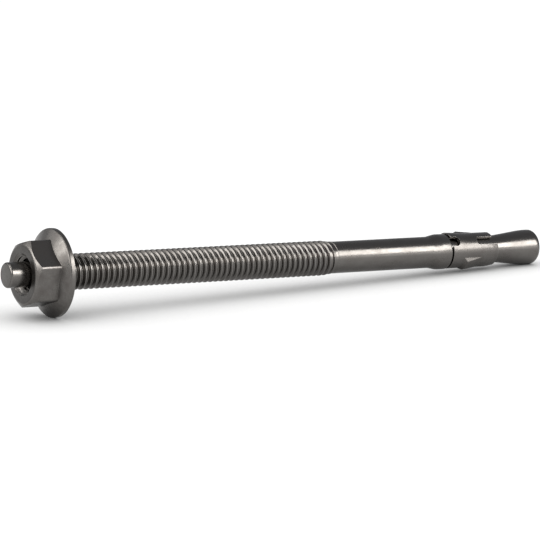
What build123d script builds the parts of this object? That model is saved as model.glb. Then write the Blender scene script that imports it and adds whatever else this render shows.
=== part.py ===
from build123d import *
import os
from math import radians, sqrt, tan

# M6 wedge anchor, in millimetres. The axis is X, running from the impact end to the expansion cone.
# X = 0 is the nut's bearing face. Angles round the axis run from -Y toward +Z.

# Flange nut, cold formed in one piece
nut_height = 6.0
across_flats = 9.8
hex_corner_angle = 18.0
hex_corner_radius = 0.2
face_ring_diameter = 9.35
face_chamfer_angle = 40.0
flange_diameter = 14.15
flange_rim_height = 0.75
flange_cone_angle = 25.0
flange_edge_radius = 0.3
flange_under_chamfer = 0.2
flange_foot_radius = 0.3
bearing_setback = 0.775
bearing_relief = 0.25
bearing_edge_radius = 0.6
countersink_diameter = 6.75
countersink_angle = 45.0
thread_clearance = 0.05

# Stud, cold formed and thread rolled from one rod
end_projection = 2.85
stub_diameter = 4.08
stub_length = 4.0
stub_edge_radius = 0.35
thread_diameter = 5.8
thread_length = 54.75
thread_lead_angle = 45.0
runout_length = 2.1
shank_diameter = 5.31
shank_length = 19.1
ramp_length = 1.65
ramp_blend_radius = 3.0
collar_diameter = 5.97
collar_length = 1.85
collar_edge_radius = 0.3
neck_diameter = 4.52
cone_diameter = 5.98
cone_half_angle = 6.45
cone_blend_radius = 20.0
head_length = 2.43
head_edge_radius = 1.0

# Expansion clip, one strip of sheet wrapped round the neck
clip_length = 9.3
clip_wall = 0.58
clip_bore_clearance = 0.09
clip_back_gap = 0.25
clip_front_gap = 0.21
clip_taper_length = 1.5
clip_front_wall = 0.4
clip_edge_chamfer = 0.1

# Cut-outs of the clip. The seam lies opposite the front slot and has the same cut-outs.
slot_angle = 42.0
slot_width = 1.5
slot_length = 4.15
slot_corner_radius = 0.35
notch_width = 1.6
notch_depth = 1.55
notch_corner_radius = 0.7
seam_gap = 0.5

# Lugs pressed out of the middle of each wing, steep behind and running out toward the cone
lug_setback = 2.25
lug_length = 3.1
lug_height = 0.22
lug_back_width = 1.3
lug_shoulder_setback = 0.9
lug_shoulder_width = 2.1
lug_front_width = 3.3
lug_draft_angle = 40.0

half_turn = 180.0
quarter_turn = 90.0

# Stations along the axis
rim_top_x = -bearing_relief - flange_rim_height
nut_face_x = -nut_height
impact_end_x = nut_face_x - end_projection
thread_start_x = impact_end_x + stub_length
thread_end_x = thread_start_x + thread_length
shank_start_x = thread_end_x + runout_length
ramp_start_x = shank_start_x + shank_length
collar_start_x = ramp_start_x + ramp_length
collar_end_x = collar_start_x + collar_length
clip_back_x = collar_end_x + clip_back_gap
clip_front_x = clip_back_x + clip_length
cone_start_x = clip_front_x + clip_front_gap

# Radii shared by pieces that fit each other
flange_radius = flange_diameter / 2
thread_radius = thread_diameter / 2
nut_bore_radius = thread_radius + thread_clearance
neck_radius = neck_diameter / 2
clip_bore_radius = neck_radius + clip_bore_clearance
clip_radius = clip_bore_radius + clip_wall


def turned(points, radii):
    """Solid of revolution about X from (x, r) points, with a rounding radius at each inner point."""
    outline = FilletPolyline(*points, radius=radii)
    closing = Line(points[-1], points[0])
    return revolve(Plane.XZ * make_face(outline + closing), Axis.X)


def turned_to(solid, angle):
    """Solid drawn over +Z, turned about the axis to an angle."""
    return Rot(X=quarter_turn - angle) * solid


def radial_prism(face, angle):
    """Prism standing out from the axis at an angle, from a face drawn along X and the tangent."""
    reach = 2 * clip_radius
    return turned_to(extrude(face, reach), angle)


def make_stud():
    stub_radius = stub_diameter / 2
    shank_radius = shank_diameter / 2
    collar_radius = collar_diameter / 2
    cone_radius = cone_diameter / 2
    lead_length = (thread_radius - stub_radius) / tan(radians(thread_lead_angle))
    cone_length = (cone_radius - neck_radius) / tan(radians(cone_half_angle))
    cone_end_x = cone_start_x + cone_length
    head_end_x = cone_end_x + head_length
    corners = [
        ((impact_end_x, stub_radius), stub_edge_radius),
        ((thread_start_x, stub_radius), 0),
        ((thread_start_x + lead_length, thread_radius), 0),
        ((thread_end_x, thread_radius), 0),
        ((shank_start_x, shank_radius), 0),
        ((ramp_start_x, shank_radius), ramp_blend_radius),
        ((collar_start_x, collar_radius), ramp_blend_radius),
        ((collar_end_x, collar_radius), collar_edge_radius),
        ((collar_end_x, neck_radius), 0),
        ((cone_start_x, neck_radius), 0),
        ((cone_end_x, cone_radius), cone_blend_radius),
        ((head_end_x, cone_radius), head_edge_radius),
    ]
    points = [(impact_end_x, 0)] + [point for point, radius in corners] + [(head_end_x, 0)]
    return turned(points, [radius for point, radius in corners])


def make_hexagon():
    """Hexagon with a corner on top, from inside the flange to the nut's face, chamfered at the face."""
    outline = RegularPolygon(across_flats / 2, 6, major_radius=False, rotation=quarter_turn)
    outline = fillet(outline.vertices(), hex_corner_radius)
    prism = extrude(Plane.YZ.offset(nut_face_x) * outline, rim_top_x - nut_face_x)
    face_ring_radius = face_ring_diameter / 2
    barrel_radius = across_flats
    chamfer_length = (barrel_radius - face_ring_radius) * tan(radians(face_chamfer_angle))
    barrel = turned(
        [
            (nut_face_x, 0),
            (nut_face_x, face_ring_radius),
            (nut_face_x + chamfer_length, barrel_radius),
            (rim_top_x, barrel_radius),
            (rim_top_x, 0),
        ],
        [0, 0, 0],
    )
    return prism & barrel


def make_flange():
    cone_rise = flange_radius * tan(radians(flange_cone_angle))
    return turned(
        [
            (0, 0),
            (0, flange_radius - bearing_setback),
            (-bearing_relief, flange_radius - flange_under_chamfer),
            (-bearing_relief - flange_under_chamfer, flange_radius),
            (rim_top_x, flange_radius),
            (rim_top_x - cone_rise, 0),
        ],
        [bearing_edge_radius, 0, 0, flange_edge_radius],
    )


def make_nut_bore():
    countersink_radius = countersink_diameter / 2
    countersink_depth = (countersink_radius - nut_bore_radius) / tan(radians(countersink_angle))
    return turned(
        [
            (nut_face_x, 0),
            (nut_face_x, countersink_radius),
            (nut_face_x + countersink_depth, nut_bore_radius),
            (-countersink_depth, nut_bore_radius),
            (0, countersink_radius),
            (0, 0),
        ],
        [0, 0, 0, 0],
    )


def make_nut():
    hexagon = make_hexagon()
    flange = make_flange()
    body = hexagon + flange
    foot = new_edges(hexagon, flange, combined=body)
    nut = fillet(foot, flange_foot_radius) - make_nut_bore()
    return Rot(X=quarter_turn - hex_corner_angle) * nut


def make_cutout(start_x, end_x, width, corner_radius, angle, inner_end):
    """Window through the clip's wall, its two corners rounded at the end that lies inside the clip."""
    outline = Pos(X=(start_x + end_x) / 2) * Rectangle(end_x - start_x, width)
    corners = outline.vertices().group_by(Axis.X)[inner_end]
    return radial_prism(fillet(corners, corner_radius), angle)


def make_lugs(base_radius):
    """Pair of wedges with sloping walls on a cylinder, narrow behind and wider toward the front."""
    back_x = clip_back_x + lug_setback
    shoulder_x = back_x + lug_shoulder_setback
    front_x = back_x + lug_length
    root_radius = base_radius - clip_wall / 2
    wedge = turned(
        [
            (back_x, root_radius),
            (back_x, base_radius + lug_height),
            (front_x, base_radius),
            (front_x, root_radius),
        ],
        [0, 0],
    )
    draft = tan(radians(lug_draft_angle))
    foot_radius = sqrt(base_radius**2 - (lug_front_width / 2) ** 2)
    half_widths = [
        (back_x - (base_radius - foot_radius) * draft, lug_back_width / 2),
        (shoulder_x, lug_shoulder_width / 2),
        (front_x, lug_front_width / 2),
        (front_x + lug_length, lug_front_width / 2),
    ]
    left_side = [
        (x, half_width + (sqrt(base_radius**2 - half_width**2) - foot_radius) * draft)
        for x, half_width in half_widths
    ]
    right_side = [(x, -half_width) for x, half_width in left_side]
    outline = Pos(Z=foot_radius) * make_face(Polyline(*right_side, *reversed(left_side), close=True))
    prism = extrude(outline, base_radius + lug_height - foot_radius, taper=lug_draft_angle)
    first = wedge & turned_to(prism, slot_angle + quarter_turn)
    return first + Rot(X=half_turn) * first


def make_clip():
    taper_start_x = clip_front_x - clip_taper_length
    clip = turned(
        [
            (clip_back_x, clip_bore_radius),
            (clip_back_x, clip_radius - clip_edge_chamfer),
            (clip_back_x + clip_edge_chamfer, clip_radius),
            (taper_start_x, clip_radius),
            (clip_front_x, clip_bore_radius + clip_front_wall),
            (clip_front_x, clip_bore_radius),
        ],
        [0, 0, 0, 0],
    )
    clip = clip + make_lugs(clip_radius) - make_lugs(clip_bore_radius)

    slot_start_x = clip_front_x - slot_length
    notch_end_x = clip_back_x + notch_depth
    past_back_x = clip_back_x - clip_wall
    past_front_x = clip_front_x + clip_wall
    for angle in (slot_angle, slot_angle + half_turn):
        clip -= make_cutout(slot_start_x, past_front_x, slot_width, slot_corner_radius, angle, 0)
        clip -= make_cutout(past_back_x, notch_end_x, notch_width, notch_corner_radius, angle, -1)
    seam = Pos(X=(past_back_x + past_front_x) / 2) * Rectangle(past_front_x - past_back_x, seam_gap)
    return clip - radial_prism(seam, slot_angle + half_turn)


os.makedirs("parts", exist_ok=True)
export_step(make_stud(), "parts/anchor_stud.step")
export_step(make_nut(), "parts/flange_nut.step")
export_step(make_clip(), "parts/expansion_clip.step")
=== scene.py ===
import math

import bpy
from mathutils import Matrix, Vector


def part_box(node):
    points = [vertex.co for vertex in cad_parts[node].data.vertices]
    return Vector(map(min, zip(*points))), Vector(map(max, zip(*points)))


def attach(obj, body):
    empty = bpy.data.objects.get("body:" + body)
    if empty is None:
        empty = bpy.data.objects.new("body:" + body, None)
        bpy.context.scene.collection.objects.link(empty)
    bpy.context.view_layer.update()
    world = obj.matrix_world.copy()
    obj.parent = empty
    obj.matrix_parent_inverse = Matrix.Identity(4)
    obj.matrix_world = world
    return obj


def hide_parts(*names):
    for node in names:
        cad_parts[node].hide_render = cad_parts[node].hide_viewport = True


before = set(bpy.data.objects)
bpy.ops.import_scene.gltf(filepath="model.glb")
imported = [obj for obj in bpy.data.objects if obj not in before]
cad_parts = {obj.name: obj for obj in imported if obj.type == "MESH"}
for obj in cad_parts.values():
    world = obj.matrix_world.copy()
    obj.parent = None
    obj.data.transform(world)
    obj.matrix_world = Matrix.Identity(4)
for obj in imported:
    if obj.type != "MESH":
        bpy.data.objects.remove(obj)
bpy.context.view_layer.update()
bpy.context.scene.view_settings.view_transform = "Standard"
print("frame loaded")

# Sizes are in millimetres and turned to metres where they are used.
mm = 0.001
weld = 0.001 * mm          # points closer than this are one
fineWeld = 0.0001 * mm
near = 0.01 * mm           # an edge this close to a place is at it
fullTurn = 2 * math.pi


def deselectAll():
    for thing in bpy.context.selected_objects:
        thing.select_set(False)


def takeUp(piece):
    deselectAll()
    piece.select_set(True)
    bpy.context.view_layer.objects.active = piece


def editAll(piece):
    takeUp(piece)
    bpy.ops.object.mode_set(mode="EDIT")
    bpy.ops.mesh.select_all(action="SELECT")


def endEdit():
    bpy.ops.object.mode_set(mode="OBJECT")


def applyModifier(piece, kind, settings):
    takeUp(piece)
    modifier = piece.modifiers.new(kind.lower(), kind)
    for name, value in settings.items():
        setattr(modifier, name, value)
    bpy.ops.object.modifier_apply(modifier=modifier.name)


def applyBoolean(piece, other, operation):
    applyModifier(piece, "BOOLEAN", {"object": other, "operation": operation, "solver": "EXACT"})
    bpy.data.objects.remove(other)


def roundCorners(corners, arcSteps):
    # corners are (x, r, radius); a radius of 0 keeps the corner sharp
    points = []
    for i, (x, r, radius) in enumerate(corners):
        here = Vector((x, r))
        if radius == 0:
            points.append((x, r))
            continue
        back = (Vector(corners[i - 1][:2]) - here).normalized()
        ahead = (Vector(corners[i + 1][:2]) - here).normalized()
        halfAngle = back.angle(ahead) / 2
        centre = here + (back + ahead).normalized() * radius / math.sin(halfAngle)
        start = here + back * radius / math.tan(halfAngle) - centre
        end = here + ahead * radius / math.tan(halfAngle) - centre
        sweep = math.atan2(start.x * end.y - start.y * end.x, start.dot(end))
        for step in range(arcSteps + 1):
            angle = sweep * step / arcSteps
            c, s = math.cos(angle), math.sin(angle)
            points.append((centre.x + c * start.x - s * start.y, centre.y + s * start.x + c * start.y))
    return points


def drawOutline(name, points):
    # one vertex on the plane of X and +Y, extruded along the (x, r) points
    x, r = points[0]
    deselectAll()
    bpy.ops.mesh.primitive_plane_add(size=mm, location=(x * mm, r * mm, 0))
    piece = bpy.context.active_object
    piece.name = piece.data.name = name
    bpy.ops.object.transform_apply(location=True, rotation=True, scale=True)
    editAll(piece)
    bpy.ops.mesh.merge(type="CENTER")
    for (x0, r0), (x1, r1) in zip(points, points[1:]):
        step = ((x1 - x0) * mm, (r1 - r0) * mm, 0)
        bpy.ops.mesh.extrude_vertices_move(TRANSFORM_OT_translate={"value": step})
    endEdit()
    return piece


def closeMesh(piece):
    editAll(piece)
    bpy.ops.mesh.remove_doubles(threshold=weld)
    bpy.ops.mesh.normals_make_consistent(inside=False)
    endEdit()


def spinOutline(name, points, steps):
    piece = drawOutline(name, points)
    editAll(piece)
    bpy.ops.mesh.spin(steps=steps, angle=fullTurn, center=(0, 0, 0), axis=(1, 0, 0))
    endEdit()
    closeMesh(piece)
    return piece


def screwOutline(name, points, pitch, turns, steps):
    piece = drawOutline(name, points)
    applyModifier(piece, "SCREW", {
        "axis": "X", "angle": fullTurn, "screw_offset": pitch * mm, "iterations": turns,
        "steps": steps, "render_steps": steps, "use_merge_vertices": True, "merge_threshold": fineWeld,
    })
    closeMesh(piece)
    return piece


def cutOff(piece, x, direction):
    # takes away what lies past x, toward +X for a direction of 1 and toward -X for -1
    editAll(piece)
    bpy.ops.mesh.bisect(
        plane_co=(x * mm, 0, 0), plane_no=(direction, 0, 0), use_fill=True, clear_outer=True, threshold=fineWeld
    )
    endEdit()


def bevelEdges(piece, wanted, offset, segments):
    # wanted says of an edge's two end points whether the edge is bevelled
    editAll(piece)
    bpy.ops.mesh.select_mode(type="EDGE")
    bpy.ops.mesh.select_all(action="DESELECT")
    endEdit()
    for edge in piece.data.edges:
        edge.select = wanted(*(piece.data.vertices[i].co for i in edge.vertices))
    bpy.ops.object.mode_set(mode="EDIT")
    bpy.ops.mesh.bevel(offset=offset * mm, segments=segments, affect="EDGES")
    bpy.ops.mesh.select_mode(type="VERT")
    endEdit()


def smoothByAngle(piece, degrees):
    takeUp(piece)
    bpy.ops.object.shade_smooth_by_angle(angle=math.radians(degrees))


# Camera and floor. The anchor lies on its flange rim and its cone, so the floor tilts in the part's frame.
stand = {
    "rimX": -0.5,          # middle of the flange's rim
    "coneX": 90.9,         # widest place of the cone
    "coneRadius": 2.99,
    "floorSize": 6000.0,
    "floorColour": (0.80, 0.80, 0.79, 1),
    "glow": 1.12,
    "glowShare": 0.9,      # how much of what a seen ray gets is glow, and the rest lit floor
    "shadeReach": 40.0,
    "shadePower": 1.15,
    "shadeSamples": 8,
}
cameraPlace = {
    "azimuth": 32.0,
    "elevation": 10.04,
    "distance": 521.6,
    "target": (39.79, 0.0, -3.31),
    "tilt": 2.58,
    "lens": 211.8,
    "sensor": 36.0,
    "clipStart": 10.0,
}


def fromLevel(vector, tilt):
    # a direction or place given with the floor level, in the part's frame
    c, s = math.cos(tilt), math.sin(tilt)
    return Vector((c * vector[0] - s * vector[2], vector[1], s * vector[0] + c * vector[2]))


def aimAt(thing, place, target, up):
    back = (place - target).normalized()
    side = up.cross(back).normalized()
    rise = back.cross(side)
    turn = Matrix((side, rise, back)).transposed().to_4x4()
    thing.matrix_world = Matrix.Translation(place) @ turn


def makeCamera(values):
    data = bpy.data.cameras.new("camera")
    data.sensor_width = values["sensor"]
    data.lens = values["lens"]
    data.clip_start = values["clipStart"] * mm
    camera = bpy.data.objects.new("camera", data)
    bpy.context.scene.collection.objects.link(camera)
    azimuth, elevation = math.radians(values["azimuth"]), math.radians(values["elevation"])
    tilt = math.radians(values["tilt"])
    back = Vector((
        -math.sin(azimuth) * math.cos(elevation),
        -math.cos(azimuth) * math.cos(elevation),
        math.sin(elevation),
    ))
    target = Vector(values["target"]) * mm
    place = fromLevel(target + back * values["distance"] * mm, tilt)
    aimAt(camera, place, fromLevel(target, tilt), fromLevel((0, 0, 1), tilt))
    bpy.context.scene.camera = camera


makeCamera(cameraPlace)
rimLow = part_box("flange_nut")[0].z
coneLow = -stand["coneRadius"] * mm
run = (stand["coneX"] - stand["rimX"]) * mm
floorTilt = math.atan2(coneLow - rimLow, run)
print("camera placed, floor tilt", round(math.degrees(floorTilt), 2))


class NodeBoard:
    def __init__(self, tree):
        self.tree = tree

    def add(self, kind, settings=None, inputs=None):
        node = self.tree.nodes.new(kind)
        for name, value in (settings or {}).items():
            setattr(node, name, value)
        for name, value in (inputs or {}).items():
            self.feed(value, node.inputs[name])
        return node

    def feed(self, value, socket):
        if isinstance(value, bpy.types.NodeSocket):
            self.tree.links.new(value, socket)
        else:
            socket.default_value = value

    def math(self, operation, a, b=0.0):
        node = self.add("ShaderNodeMath", {"operation": operation})
        self.feed(a, node.inputs[0])
        self.feed(b, node.inputs[1])
        return node.outputs[0]

    def noise(self, vector, scale, detail, roughness=0.5):
        return self.add("ShaderNodeTexNoise", inputs={
            "Vector": vector, "Scale": scale, "Detail": detail, "Roughness": roughness,
        }).outputs["Fac"]

    def rangeOf(self, value, low, high, toLow, toHigh):
        return self.add("ShaderNodeMapRange", {"clamp": True}, {
            "Value": value, "From Min": low, "From Max": high, "To Min": toLow, "To Max": toHigh,
        }).outputs["Result"]

    def mixColour(self, factor, a, b):
        # the Mix node's colour sockets come after those for numbers and vectors
        node = self.add("ShaderNodeMix", {"data_type": "RGBA"})
        self.feed(factor, node.inputs[0])
        self.feed(a, node.inputs[6])
        self.feed(b, node.inputs[7])
        return node.outputs[2]


def newMaterial(name):
    material = bpy.data.materials.new(name)
    material.use_nodes = True
    material.node_tree.nodes.clear()
    return material, NodeBoard(material.node_tree)


def giveMaterial(piece, material):
    piece.data.materials.clear()
    piece.data.materials.append(material)


# Background: pale floor, white up to just above the horizon and a dim ceiling, seen alike by camera and metal.
def seenRay(board):
    path = board.add("ShaderNodeLightPath")
    seen = board.math("MAXIMUM", path.outputs["Is Camera Ray"], path.outputs["Is Glossy Ray"])
    return board.math("MAXIMUM", seen, path.outputs["Is Transmission Ray"])


def makeFloor(values):
    deselectAll()
    middle = Vector(((values["coneX"] + values["rimX"]) / 2 * mm, 0, (rimLow + coneLow) / 2))
    bpy.ops.mesh.primitive_plane_add(size=values["floorSize"] * mm, location=middle, rotation=(0, -floorTilt, 0))
    floor = bpy.context.active_object
    floor.name = "floor"
    material, board = newMaterial("paleFloor")
    shade = board.add(
        "ShaderNodeAmbientOcclusion", {"samples": values["shadeSamples"]}, {"Distance": values["shadeReach"] * mm}
    )
    openness = board.math("POWER", shade.outputs["AO"], values["shadePower"])
    diffuse = board.add("ShaderNodeBsdfDiffuse", inputs={"Color": values["floorColour"]})
    glow = board.add("ShaderNodeEmission", inputs={
        "Color": (1, 1, 1, 1), "Strength": board.math("MULTIPLY", openness, values["glow"]),
    })
    both = board.add("ShaderNodeMixShader")
    board.feed(board.math("MULTIPLY", seenRay(board), values["glowShare"]), both.inputs[0])
    board.feed(diffuse.outputs[0], both.inputs[1])
    board.feed(glow.outputs[0], both.inputs[2])
    board.add("ShaderNodeOutputMaterial", inputs={"Surface": both.outputs[0]})
    giveMaterial(floor, material)


surround = {
    "horizon": (1.0, 1.0, 1.0, 1),
    "ceiling": (0.28, 0.285, 0.30, 1),
    "horizonTop": 0.04,    # sine of the height where the white ends
    "ceilingFoot": 0.22,
    "light": 0.35,
}


def makeWorld(values):
    world = bpy.data.worlds.new("studio")
    bpy.context.scene.world = world
    world.use_nodes = True
    world.node_tree.nodes.clear()
    board = NodeBoard(world.node_tree)
    place = board.add("ShaderNodeTexCoord").outputs["Generated"]
    height = board.add("ShaderNodeSeparateXYZ", inputs={"Vector": place}).outputs["Z"]
    rise = board.rangeOf(height, values["horizonTop"], values["ceilingFoot"], 0.0, 1.0)
    colour = board.mixColour(rise, values["horizon"], values["ceiling"])
    strength = board.rangeOf(seenRay(board), 0.0, 1.0, values["light"], 1.0)
    background = board.add("ShaderNodeBackground", inputs={"Color": colour, "Strength": strength})
    board.add("ShaderNodeOutputWorld", inputs={"Surface": background.outputs[0]})


lampAim = (40.0, 0, 0)
lampColour = (1.0, 0.985, 0.96)

# Softboxes: direction as azimuth from -Y toward +X and height, in degrees, then distance, size and radiance
softboxes = {
    "keyLight": {"azimuth": 29.0, "height": 29.3, "distance": 800, "size": (580, 385), "radiance": 8.5},
    "frontLight": {"azimuth": 30.0, "height": 8.0, "distance": 900, "size": (900, 300), "radiance": 1.2},
    "leftLight": {"azimuth": -91.0, "height": 28.0, "distance": 700, "size": (800, 350), "radiance": 5.5},
    "backLight": {"azimuth": -138.0, "height": 28.0, "distance": 700, "size": (400, 300), "radiance": 1.3},
    "topLight": {"azimuth": -90.0, "height": 70.0, "distance": 700, "size": (600, 300), "radiance": 2.6},
}


def makeSoftboxes(boxes):
    centre = Vector(lampAim) * mm
    for name, values in boxes.items():
        width, tall = (side * mm for side in values["size"])
        data = bpy.data.lights.new(name, "AREA")
        data.shape = "RECTANGLE"
        data.size, data.size_y = width, tall
        data.energy = values["radiance"] * math.pi * width * tall
        data.color = lampColour
        lamp = bpy.data.objects.new(name, data)
        bpy.context.scene.collection.objects.link(lamp)
        lamp.visible_camera = False
        azimuth, height = math.radians(values["azimuth"]), math.radians(values["height"])
        reach = Vector((
            math.sin(azimuth) * math.cos(height), -math.cos(azimuth) * math.cos(height), math.sin(height)
        ))
        aimAt(lamp, centre + reach * values["distance"] * mm, centre, Vector((0, 0, 1)))


makeFloor(stand)
makeWorld(surround)
makeSoftboxes(softboxes)
print("stage lit")

# Steel skin, shared by all pieces: soft patches of tone, fine grain, shallow waves, painted shade in the hollows,
# wear with a painted highlight on the edges and painted shade on the end face
skinMix = {
    "patchDetail": (4.0, 0.6),       # detail and roughness of the noise
    "grainDetail": (3.0, 0.7),
    "wideDetail": 2.0,
    "wideScale": 0.35,               # against the patches' scale
    "patchShare": 0.65,
    "grainShare": 0.35,
    "toneRange": (0.36, 0.6),
    "toneMiddle": 0.5,
    # the hollows are darkened with painted shade, near-black where they are most closed
    "paintedShadeRange": (0.25, 0.8),        # openness of a hollow, from full painted shade to none
    "paintedShadeColour": (0.02, 0.018, 0.016, 1),
    # the edges are lightened: wear, and a painted highlight
    "wornHighlightRange": (0.35, 0.85),
    "wornHighlightColour": (0.34, 0.33, 0.315, 1),
    "spreadGain": -4.0,              # lighter places are smoother
    "shelterSamples": 8,
    "edgeSamples": 6,
}


def buildSteelSkin(values):
    group = bpy.data.node_groups.new("steelSkin", "ShaderNodeTree")
    for name, kind, value in (
        ("Colour", "NodeSocketColor", (0.2, 0.19, 0.18, 1)),
        ("Deep Colour", "NodeSocketColor", (0.1, 0.09, 0.085, 1)),
        ("Patch Scale", "NodeSocketFloat", 400.0),
        ("Grain Scale", "NodeSocketFloat", 6000.0),
        ("Stretch", "NodeSocketVector", (1.0, 1.0, 1.0)),
        ("Roughness", "NodeSocketFloat", 0.3),
        ("Roughness Spread", "NodeSocketFloat", 0.1),
        ("Wave Depth", "NodeSocketFloat", 0.00002),
        ("Grain Depth", "NodeSocketFloat", 0.000002),
        ("Edge Radius", "NodeSocketFloat", 0.00005),
        # the next two darken the hollows with painted shade
        ("Painted Shade Reach", "NodeSocketFloat", 0.001),
        ("Painted Shade", "NodeSocketFloat", 0.0),
        # the next two lighten the edges: wear and a painted highlight
        ("Worn Highlight Reach", "NodeSocketFloat", 0.0002),
        ("Worn Highlight", "NodeSocketFloat", 0.0),
        # the next two paint shade on the end face behind End X
        ("End X", "NodeSocketFloat", -1.0),
        ("Painted End Shade", "NodeSocketFloat", 1.0),
    ):
        socket = group.interface.new_socket(name, in_out="INPUT", socket_type=kind)
        socket.default_value = value
    for name, kind in (
        ("Colour", "NodeSocketColor"), ("Roughness", "NodeSocketFloat"), ("Normal", "NodeSocketVector"),
    ):
        group.interface.new_socket(name, in_out="OUTPUT", socket_type=kind)
    board = NodeBoard(group)
    given = board.add("NodeGroupInput").outputs
    place = board.add("ShaderNodeTexCoord").outputs["Object"]
    stretched = board.add("ShaderNodeVectorMath", {"operation": "MULTIPLY"})
    board.feed(place, stretched.inputs[0])
    board.feed(given["Stretch"], stretched.inputs[1])
    drawn = stretched.outputs["Vector"]

    # tone
    patches = board.noise(drawn, given["Patch Scale"], *values["patchDetail"])
    wideScale = board.math("MULTIPLY", given["Patch Scale"], values["wideScale"])
    wide = board.noise(place, wideScale, values["wideDetail"])
    grain = board.noise(drawn, given["Grain Scale"], *values["grainDetail"])
    patchTone = board.math("MULTIPLY", patches, values["patchShare"])
    grainTone = board.math("MULTIPLY", grain, values["grainShare"])
    tone = board.math("ADD", patchTone, grainTone)
    lightness = board.rangeOf(tone, *values["toneRange"], 0.0, 1.0)
    colour = board.mixColour(lightness, given["Deep Colour"], given["Colour"])

    # painted shade in the hollows, and wear with a painted highlight on the edges
    shelter = board.add(
        "ShaderNodeAmbientOcclusion", {"samples": values["shelterSamples"]}, {"Distance": given["Painted Shade Reach"]}
    ).outputs["AO"]
    # painted shade: the less open a hollow is, the darker its colour
    paintedShade = board.math("MULTIPLY", board.rangeOf(shelter, *values["paintedShadeRange"], 1.0, 0.0), given["Painted Shade"])
    colour = board.mixColour(paintedShade, colour, values["paintedShadeColour"])
    inside = board.add(
        "ShaderNodeAmbientOcclusion", {"samples": values["shelterSamples"], "inside": True},
        {"Distance": given["Worn Highlight Reach"]},
    ).outputs["AO"]
    # wear and painted highlight: the sharper an edge, the lighter its colour
    wornHighlight = board.math("MULTIPLY", board.rangeOf(inside, *values["wornHighlightRange"], 1.0, 0.0), given["Worn Highlight"])
    colour = board.mixColour(wornHighlight, colour, values["wornHighlightColour"])

    # painted shade: the face behind End X is darkened by the given end factor
    along = board.add("ShaderNodeSeparateXYZ", inputs={"Vector": place}).outputs["X"]
    endFace = board.math("LESS_THAN", along, given["End X"])
    darker = board.math("SUBTRACT", given["Painted End Shade"], 1.0)
    keep = board.math("ADD", 1.0, board.math("MULTIPLY", endFace, darker))
    scaled = board.add("ShaderNodeVectorMath", {"operation": "SCALE"}, {"Vector": colour, "Scale": keep})
    colour = scaled.outputs[0]

    # gloss and relief
    offset = board.math("SUBTRACT", tone, values["toneMiddle"])
    spread = board.math("MULTIPLY", offset, given["Roughness Spread"])
    roughness = board.math("ADD", given["Roughness"], board.math("MULTIPLY", spread, values["spreadGain"]))
    waves = board.math("MULTIPLY", board.math("ADD", wide, patches), given["Wave Depth"])
    height = board.math("ADD", waves, board.math("MULTIPLY", grain, given["Grain Depth"]))
    edges = board.add(
        "ShaderNodeBevel", {"samples": values["edgeSamples"]}, {"Radius": given["Edge Radius"]}
    ).outputs["Normal"]
    bump = board.add("ShaderNodeBump", inputs={"Strength": 1.0, "Distance": 1.0, "Height": height, "Normal": edges})
    board.add("NodeGroupOutput", inputs={
        "Colour": colour, "Roughness": roughness, "Normal": bump.outputs["Normal"],
    })
    return group


steelSkin = buildSteelSkin(skinMix)


def makeSteel(name, values):
    material, board = newMaterial(name)
    skin = board.add("ShaderNodeGroup", {"node_tree": steelSkin}, values)
    shader = board.add("ShaderNodeBsdfPrincipled", inputs={
        "Base Color": skin.outputs["Colour"], "Metallic": 1.0, "Roughness": skin.outputs["Roughness"],
        "Normal": skin.outputs["Normal"],
    })
    board.add("ShaderNodeOutputMaterial", inputs={"Surface": shader.outputs[0]})
    return material


# Stud: thread rolled on the rod, from the lead-in at the impact end to the run-out before the shank
stud = {
    "pitch": 1.0,
    "crestPhase": -0.542,   # X of a crest on the +Y side, less whole pitches
    "crestRadius": 2.9,
    "rootRadius": 2.39,
    "flankAngle": 60.0,     # between the flank and the axis
    "crestFlat": 0.06,
    "crestRound": 0.12,
    "rootRound": 0.16,
    "threadFrom": -6.0,
    "threadTurns": 61,
    "cutAt": (-5.4, 53.0),
    "threadSteps": 64,
    "bodySteps": 96,
    # (x, r, rounding) of the body's outline, which the thread and the heart are cut to
    "outline": (
        (-8.85, 0, 0), (-8.85, 2.04, 0.35), (-4.85, 2.04, 0), (-3.84, 3.05, 0), (49.3, 3.05, 0), (49.7, 2.91, 0),
        (50.5, 2.78, 0), (51.3, 2.70, 0), (52.1, 2.655, 0), (71.1, 2.655, 3.0), (72.75, 2.985, 3.0),
        (74.6, 2.985, 0.3), (74.6, 2.26, 0), (84.36, 2.26, 0), (90.817, 2.99, 20.0), (93.247, 2.99, 1.0),
        (93.247, 0, 0),
    ),
    # (x, r) of the rod inside the thread, which comes up to the shank at the run-out
    "heart": (
        (-9.5, 0), (-9.5, 2.2), (49.2, 2.2), (50.2, 2.42), (51.2, 2.58), (52.1, 2.67), (53.0, 3.4), (95.0, 3.4),
        (95.0, 0),
    ),
    "arcSteps": 8,
    "threadArcSteps": 4,
    "smoothAngle": 40,
}


def threadOutline(values, startX):
    # one pitch from the middle of a root to the next, flat at the crest with round shoulders
    pitch, crest, root = values["pitch"], values["crestRadius"], values["rootRadius"]
    flank = math.radians(values["flankAngle"])
    shoulder = values["crestFlat"] / 2 + values["crestRound"] * math.tan(flank / 2)
    foot = shoulder + (crest - root) / math.tan(flank)
    corners = [
        (0, root, 0), (pitch / 2 - foot, root, values["rootRound"]),
        (pitch / 2 - shoulder, crest, values["crestRound"]), (pitch / 2 + shoulder, crest, values["crestRound"]),
        (pitch / 2 + foot, root, values["rootRound"]), (pitch, root, 0),
    ]
    return roundCorners([(startX + x, r, radius) for x, r, radius in corners], values["threadArcSteps"])


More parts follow.
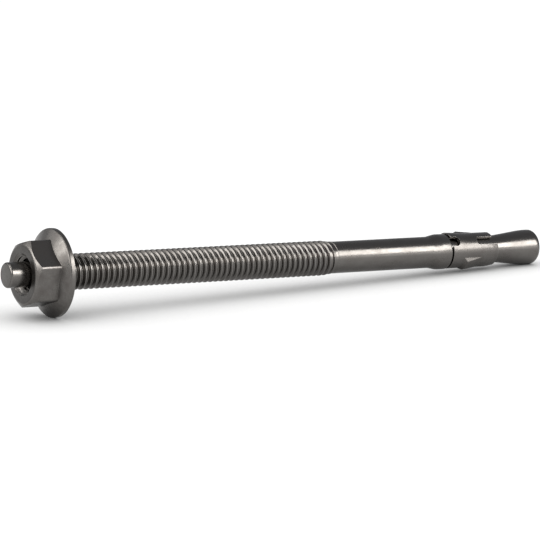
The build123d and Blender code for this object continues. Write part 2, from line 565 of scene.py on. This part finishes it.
def makeStud(values):
    startX = values["threadFrom"] + values["crestPhase"] - values["pitch"] / 2
    piece = screwOutline(
        "threadedStud", threadOutline(values, startX), values["pitch"], values["threadTurns"], values["threadSteps"]
    )
    cutOff(piece, values["cutAt"][0], -1)
    cutOff(piece, values["cutAt"][1], 1)
    closeMesh(piece)
    heart = spinOutline("heart", values["heart"], values["bodySteps"])
    applyBoolean(piece, heart, "UNION")
    envelope = spinOutline("envelope", roundCorners(values["outline"], values["arcSteps"]), values["bodySteps"])
    applyBoolean(piece, envelope, "INTERSECT")
    smoothByAngle(piece, values["smoothAngle"])
    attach(piece, "stud")
    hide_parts("anchor_stud")
    return piece


threadedStud = makeStud(stud)
print("stud made,", len(threadedStud.data.polygons), "faces")

# Flange nut: a hexagon chamfered at its face, on a flange with a conical top
flangeNut = {
    "acrossCorners": 11.316,
    "cornerBevel": 0.32,
    "cornerSteps": 6,
    "cornerAngle": 18.0,
    "hexagonEnds": (-6.3, -0.9),
    "barrel": (
        (-6.0, 0, 0), (-6.0, 4.675, 0.9), (-2.5, 8.846, 0), (-0.9, 8.846, 0), (-0.9, 0, 0),
    ),
    "flange": (
        (0, 0, 0), (0, 6.3, 0.5), (-0.16, 6.93, 0), (-0.25, 7.075, 0.05), (-1.0, 7.075, 0.3), (-4.299, 0, 0),
    ),
    "bore": (
        (-7.0, 0, 0), (-7.0, 4.375, 0), (-5.575, 2.95, 0), (-0.425, 2.95, 0), (1.0, 4.375, 0), (1.0, 0, 0),
    ),
    "arcSteps": 8,
    "steps": 128,
    "smoothAngle": 24,
}


def makeNut(values):
    startX, endX = values["hexagonEnds"]
    deselectAll()
    bpy.ops.mesh.primitive_cylinder_add(
        vertices=6, radius=values["acrossCorners"] / 2 * mm, depth=(endX - startX) * mm,
        location=((startX + endX) / 2 * mm, 0, 0), rotation=(0, math.pi / 2, 0),
    )
    piece = bpy.context.active_object
    piece.name = piece.data.name = "flangeNut"
    bpy.ops.object.transform_apply(location=True, rotation=True, scale=True)
    bevelEdges(piece, lambda a, b: abs(a.x - b.x) > mm, values["cornerBevel"], values["cornerSteps"])
    piece.rotation_euler = (-math.radians(values["cornerAngle"]), 0, 0)
    bpy.ops.object.transform_apply(location=True, rotation=True, scale=True)
    closeMesh(piece)
    for name, operation in (("barrel", "INTERSECT"), ("flange", "UNION"), ("bore", "DIFFERENCE")):
        other = spinOutline(name, roundCorners(values[name], values["arcSteps"]), values["steps"])
        applyBoolean(piece, other, operation)
    closeMesh(piece)
    smoothByAngle(piece, values["smoothAngle"])
    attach(piece, "nut")
    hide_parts("flange_nut")
    return piece


nutBody = makeNut(flangeNut)
print("nut made,", len(nutBody.data.polygons), "faces")

# Expansion clip: a ring with two slots, two notches, a seam and two pressed lugs. One back corner has sprung
# out, and the upper fingers end a little short of the lower ones.
expansionClip = {
    "wall": (
        (74.85, 2.35), (74.85, 2.86), (74.92, 2.93), (75.3, 2.93), (75.8, 2.93), (76.4, 2.93), (77.1, 2.93),
        (78.0, 2.93), (84.15, 2.93), (84.15, 2.35), (78.0, 2.35), (77.1, 2.35), (76.4, 2.35), (75.8, 2.35),
        (75.3, 2.35), (74.85, 2.35),
    ),
    "taper": ((82.65, 2.93), (84.3, 2.73), (84.3, 4.0), (82.65, 4.0), (82.65, 2.93)),
    "slotAngle": 42.0,
    "slot": (80.0, 84.9, 1.5, 0.35),       # start, end, width and corner radius
    "notch": (74.2, 76.4, 1.6, 0.7),
    "seam": (74.2, 84.9, 0.5, 0),
    "cutterRise": (1.0, 5.0),              # the cutters' foot and top over the axis
    "cutterSteps": 5,
    "fingerEnd": 83.45,
    "fingerBox": (85.0, 12.0, 0.37, 6.0),          # end, width, foot and top of what shortens the upper fingers
    "upperBox": (82.0, 85.0, 12.0, -0.31, 6.0),    # what keeps the upper wing from the taper, from its start on
    "lugFoot": ((76.5, 1.58), (83.5, 1.58), (83.5, -1.58), (76.5, -1.58), (76.5, 1.58)),
    "lugFootHeight": 2.42,
    "lugRise": 0.95,
    "lugInset": 0.55,                      # how far each side leans in over the rise
    "lugBack": ((77.1, 2.6), (77.1, 2.87), (77.65, 3.3), (77.85, 3.31), (81.0, 2.9), (81.0, 2.6), (77.1, 2.6)),
    "flareAngle": 88.0,
    "flareSpread": 20.0,
    "flareFrom": 75.0,
    "flareOut": 0.24,
    "flareReach": 3.8,
    "steps": 144,
    "smoothAngle": 24,
}


def addBox(startX, endX, width, low, high):
    deselectAll()
    bpy.ops.mesh.primitive_cube_add(
        size=mm, location=((startX + endX) / 2 * mm, 0, (low + high) / 2 * mm),
        scale=(endX - startX, width, high - low),
    )
    box = bpy.context.active_object
    bpy.ops.object.transform_apply(location=True, rotation=True, scale=True)
    return box


def turnTo(piece, angle):
    # turns what was drawn over +Z to an angle from -Y toward +Z
    takeUp(piece)
    piece.rotation_euler = (math.radians(90 - angle), 0, 0)
    bpy.ops.object.transform_apply(location=True, rotation=True, scale=True)


def makeCutout(values, kind, angle, roundedX=None):
    startX, endX, width, corner = values[kind]
    cutter = addBox(startX, endX, width, *values["cutterRise"])
    if roundedX is not None:
        bevelEdges(
            cutter, lambda a, b: abs(a.z - b.z) > mm and abs(a.x - roundedX * mm) < near, corner,
            values["cutterSteps"],
        )
    turnTo(cutter, angle)
    return cutter


def makeLug(values, angle):
    # a block that narrows upwards, cut to the lug's own height by a turned ring
    piece = drawOutline("lug", values["lugFoot"])
    editAll(piece)
    bpy.ops.mesh.remove_doubles(threshold=weld)
    bpy.ops.mesh.edge_face_add()
    bpy.ops.transform.translate(value=(0, 0, values["lugFootHeight"] * mm))
    bpy.ops.mesh.normals_make_consistent(inside=False)
    bpy.ops.mesh.extrude_region_move(TRANSFORM_OT_translate={"value": (0, 0, values["lugRise"] * mm)})
    halfWidth = values["lugFoot"][0][1]
    narrowing = (halfWidth - values["lugInset"]) / halfWidth
    bpy.ops.transform.resize(value=(1, narrowing, 1), center_override=(0, 0, 0))
    endEdit()
    closeMesh(piece)
    back = spinOutline("lugBack", values["lugBack"], values["steps"])
    applyBoolean(piece, back, "INTERSECT")
    turnTo(piece, angle)
    return piece


def springOut(piece, values):
    # the points that lie behind flareFrom and within flareSpread of flareAngle, and softly what adjoins them
    angle = math.radians(values["flareAngle"])
    out = Vector((0, -math.cos(angle), math.sin(angle)))
    spread = math.cos(math.radians(values["flareSpread"]))
    editAll(piece)
    bpy.ops.mesh.select_all(action="DESELECT")
    endEdit()
    for vertex in piece.data.vertices:
        across = Vector((0, vertex.co.y, vertex.co.z))
        vertex.select = vertex.co.x < values["flareFrom"] * mm and across.normalized().dot(out) > spread
    bpy.ops.object.mode_set(mode="EDIT")
    bpy.ops.transform.translate(
        value=out * values["flareOut"] * mm, use_proportional_edit=True, proportional_edit_falloff="SMOOTH",
        proportional_size=values["flareReach"] * mm, use_proportional_connected=True,
    )
    endEdit()


def makeClip(values):
    piece = spinOutline("springClip", values["wall"], values["steps"])
    first = values["slotAngle"]
    fingers = addBox(values["fingerEnd"], *values["fingerBox"])
    turnTo(fingers, first + 90)
    applyBoolean(piece, fingers, "DIFFERENCE")
    for angle in (first + 90, first + 270):
        applyBoolean(piece, makeLug(values, angle), "UNION")
    taper = spinOutline("taper", values["taper"], values["steps"])
    upper = addBox(*values["upperBox"])
    turnTo(upper, first + 90)
    applyBoolean(taper, upper, "DIFFERENCE")
    applyBoolean(piece, taper, "DIFFERENCE")
    for angle in (first, first + 180):
        applyBoolean(piece, makeCutout(values, "slot", angle, values["slot"][0]), "DIFFERENCE")
        applyBoolean(piece, makeCutout(values, "notch", angle, values["notch"][1]), "DIFFERENCE")
    applyBoolean(piece, makeCutout(values, "seam", first + 180), "DIFFERENCE")
    springOut(piece, values)
    closeMesh(piece)
    smoothByAngle(piece, values["smoothAngle"])
    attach(piece, "clip")
    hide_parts("expansion_clip")
    return piece


clipBody = makeClip(expansionClip)
print("clip made,", len(clipBody.data.polygons), "faces")

# Thread inside the nut: one ridge that lies in the stud's groove, cut by the countersinks
nutThread = {
    "footRadius": 3.05,
    "crestRadius": 2.52,
    "footHalf": 0.40,
    "crestHalf": 0.085,
    "faceX": -6.0,
    "countersinkRadius": 3.375,
    "spareInside": 0.3,        # how far the cutting ring goes past the ridge's crest and foot
    "spareOutside": 0.1,
    "turns": 7,
    "steps": 64,
    "smoothAngle": 40,
}


def makeNutThread(values):
    ridgeX = values["faceX"] + stud["crestPhase"] - stud["pitch"] / 2
    foot, crest = values["footRadius"], values["crestRadius"]
    outline = [
        (ridgeX - values["footHalf"], foot), (ridgeX - values["crestHalf"], crest),
        (ridgeX + values["crestHalf"], crest), (ridgeX + values["footHalf"], foot),
        (ridgeX - values["footHalf"], foot),
    ]
    piece = screwOutline("nutThread", outline, stud["pitch"], values["turns"], values["steps"])
    face, cone = values["faceX"], values["countersinkRadius"]
    inner, outer = values["spareInside"], values["spareOutside"]
    keep = spinOutline("keep", [
        (face + cone - crest + inner, crest - inner), (face + cone - foot - outer, foot + outer),
        (-(cone - foot - outer), foot + outer), (-(cone - crest + inner), crest - inner),
        (face + cone - crest + inner, crest - inner),
    ], values["steps"])
    applyBoolean(piece, keep, "INTERSECT")
    smoothByAngle(piece, values["smoothAngle"])
    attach(piece, "nut")
    return piece


innerThread = makeNutThread(nutThread)
print("nut thread made,", len(innerThread.data.polygons), "faces")

# What each piece asks of the steel skin, in its own units: metres for depths, radii and reaches
# Of these, the hollow darkening and the end darkening are painted shade, and the edge lightening is wear with a
# painted highlight
skins = {
    "studSteel": {
        "Colour": (0.15, 0.143, 0.136, 1), "Deep Colour": (0.115, 0.107, 0.10, 1), "Patch Scale": 450.0,
        "Grain Scale": 5000.0, "Stretch": (0.6, 1, 1), "Roughness": 0.24, "Roughness Spread": 0.10,
        "Wave Depth": 0.000015, "Grain Depth": 0.000001, "Edge Radius": 0.00003, "Painted Shade Reach": 0.0006, "Painted Shade": 0.5,
        "Worn Highlight Reach": 0.00025, "Worn Highlight": 0.8, "End X": -0.00878, "Painted End Shade": 0.7,
    },
    "nutSteel": {
        "Colour": (0.145, 0.138, 0.131, 1), "Deep Colour": (0.11, 0.102, 0.096, 1), "Patch Scale": 700.0,
        "Grain Scale": 7000.0, "Roughness": 0.30, "Roughness Spread": 0.10, "Wave Depth": 0.00001,
        "Grain Depth": 0.0000015, "Edge Radius": 0.00008, "Painted Shade Reach": 0.003, "Painted Shade": 0.4, "Worn Highlight": 0.5,
        "End X": -0.00597, "Painted End Shade": 0.5,
    },
    "boreSteel": {
        "Colour": (0.13, 0.124, 0.117, 1), "Deep Colour": (0.09, 0.084, 0.079, 1), "Patch Scale": 700.0,
        "Grain Scale": 7000.0, "Roughness": 0.34, "Roughness Spread": 0.10, "Wave Depth": 0.00001,
        "Grain Depth": 0.0000015, "Edge Radius": 0.00003, "Painted Shade Reach": 0.001, "Painted Shade": 0.3, "Worn Highlight": 0.3,
    },
    "clipSteel": {
        "Colour": (0.145, 0.138, 0.131, 1), "Deep Colour": (0.11, 0.102, 0.096, 1), "Patch Scale": 500.0,
        "Grain Scale": 6000.0, "Roughness": 0.27, "Roughness Spread": 0.10, "Wave Depth": 0.000012,
        "Grain Depth": 0.0000012, "Edge Radius": 0.00008, "Painted Shade Reach": 0.001, "Painted Shade": 0.3, "Worn Highlight": 0.5,
    },
}
steels = {name: makeSteel(name, values) for name, values in skins.items()}
giveMaterial(threadedStud, steels["studSteel"])
giveMaterial(innerThread, steels["boreSteel"])
giveMaterial(nutBody, steels["nutSteel"])
giveMaterial(clipBody, steels["clipSteel"])
print("steel given")
